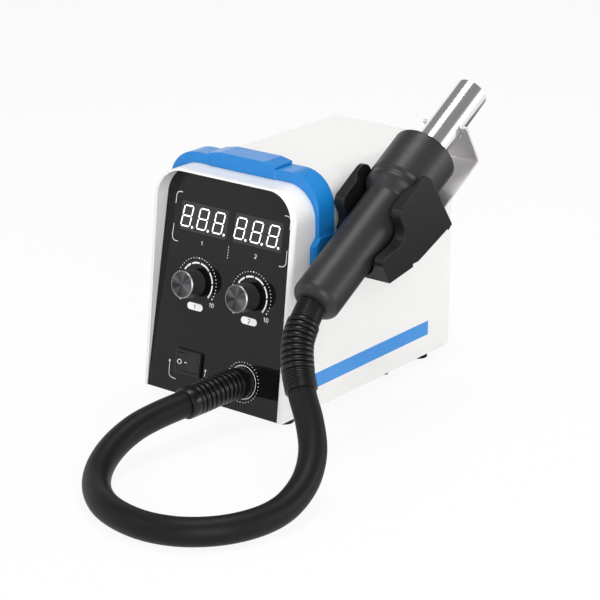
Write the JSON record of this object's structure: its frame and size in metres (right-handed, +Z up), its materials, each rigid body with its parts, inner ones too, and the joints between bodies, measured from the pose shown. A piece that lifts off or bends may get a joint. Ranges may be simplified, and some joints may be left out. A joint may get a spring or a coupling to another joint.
{
  "type": "hot air rework station",
  "caption": "Bench hot air rework station: white housing with a sloped black display panel, a looped air hose and a heated handpiece lying in a side cradle.",
  "frame": {"origin": "bottom centre of the outline without the hose, on the bench under the feet", "axes": "+Z up, -Y out of the front panel, +X towards the side that carries the cradle and the handpiece"},
  "size_m": [0.205, 0.3478, 0.1962],
  "materials": {
    "white_paint": "satin powder coat",
    "blue_plastic": "gloss",
    "zinc_steel": "zinc plated",
    "black_acrylic": "gloss",
    "display_face": "gloss",
    "green_board": "matte",
    "knob_grey": "satin",
    "turned_aluminium": "turned",
    "black_plastic": "satin",
    "black_rubber": "satin",
    "charcoal_plastic": "matte",
    "polished_steel": "polished, heat stained",
    "ceramic": "matte",
    "screw_steel": "satin",
    "fan_plastic": "satin",
    "core_steel": "varnished",
    "copper": "varnished",
    "fin_aluminium": "extruded"
  },
  "bodies": {
    "station": {"housing_cover": "white_paint", "front_frame": "white_paint", "rear_panel": "white_paint", "trim_band": "blue_plastic", "base_plate": "zinc_steel", "front_panel": "black_acrylic", "display_left": "display_face", "display_right": "display_face", "control_board": "green_board", "pot_left": "zinc_steel", "pot_right": "zinc_steel", "switch_housing": "black_plastic", "hose_port": "black_plastic", "port_nut": "zinc_steel", "port_sleeve": "black_rubber", "hose": "black_rubber", "cradle": "black_plastic", "cradle_screws": "screw_steel", "barrel_rest": "zinc_steel", "rest_screws": "screw_steel", "blower_scroll": "black_plastic", "blower_lid": "black_plastic", "blower_motor": "zinc_steel", "air_duct": "black_rubber", "power_board": "green_board", "heat_sink": "fin_aluminium", "board_screws": "screw_steel", "transformer_core": "core_steel", "transformer_coil": "copper", "transformer_bolts": "screw_steel", "mains_inlet": "black_plastic", "fuse_holder": "black_plastic", "feet": "black_rubber", "foot_screws": "screw_steel", "cover_screws": "screw_steel"},
    "left_knob": {"knob_left": "knob_grey", "knob_cap_left": "turned_aluminium", "shaft_left": "screw_steel"},
    "right_knob": {"knob_right": "knob_grey", "knob_cap_right": "turned_aluminium", "shaft_right": "screw_steel"},
    "rocker": {"switch_rocker": "black_plastic"},
    "handpiece": {"grip_shell": "charcoal_plastic", "head_shell": "charcoal_plastic", "head_collar": "ceramic", "barrel": "polished_steel", "heater_core": "ceramic", "gun_sleeve": "black_rubber"},
    "fan": {"blower_wheel": "fan_plastic"}
  },
  "joints": [
    {"name": "left_knob_turn", "type": "hinge", "parent": "station", "child": "left_knob", "pos_m": [-0.04625, -0.06932, 0.07697], "axis": [0, -0.982, 0.1891], "range_deg": [-300, 0]},
    {"name": "right_knob_turn", "type": "hinge", "parent": "station", "child": "right_knob", "pos_m": [-0.00305, -0.06932, 0.07697], "axis": [0, -0.982, 0.1891], "range_deg": [-300, 0]},
    {"name": "rocker_tilt", "type": "hinge", "parent": "station", "child": "rocker", "pos_m": [-0.04525, -0.07836, 0.0269], "axis": [0, -0.1891, -0.982], "range_deg": [0, 14]},
    {"name": "handpiece_lift", "type": "slide", "parent": "station", "child": "handpiece", "axis": [0, -0.509, 0.8607], "range_m": [0, 0.06]},
    {"name": "fan_spin", "type": "hinge", "parent": "station", "child": "fan", "pos_m": [-0.02195, 0.00301, 0.026], "axis": [0, 0, 1], "continuous": true}
  ]
}
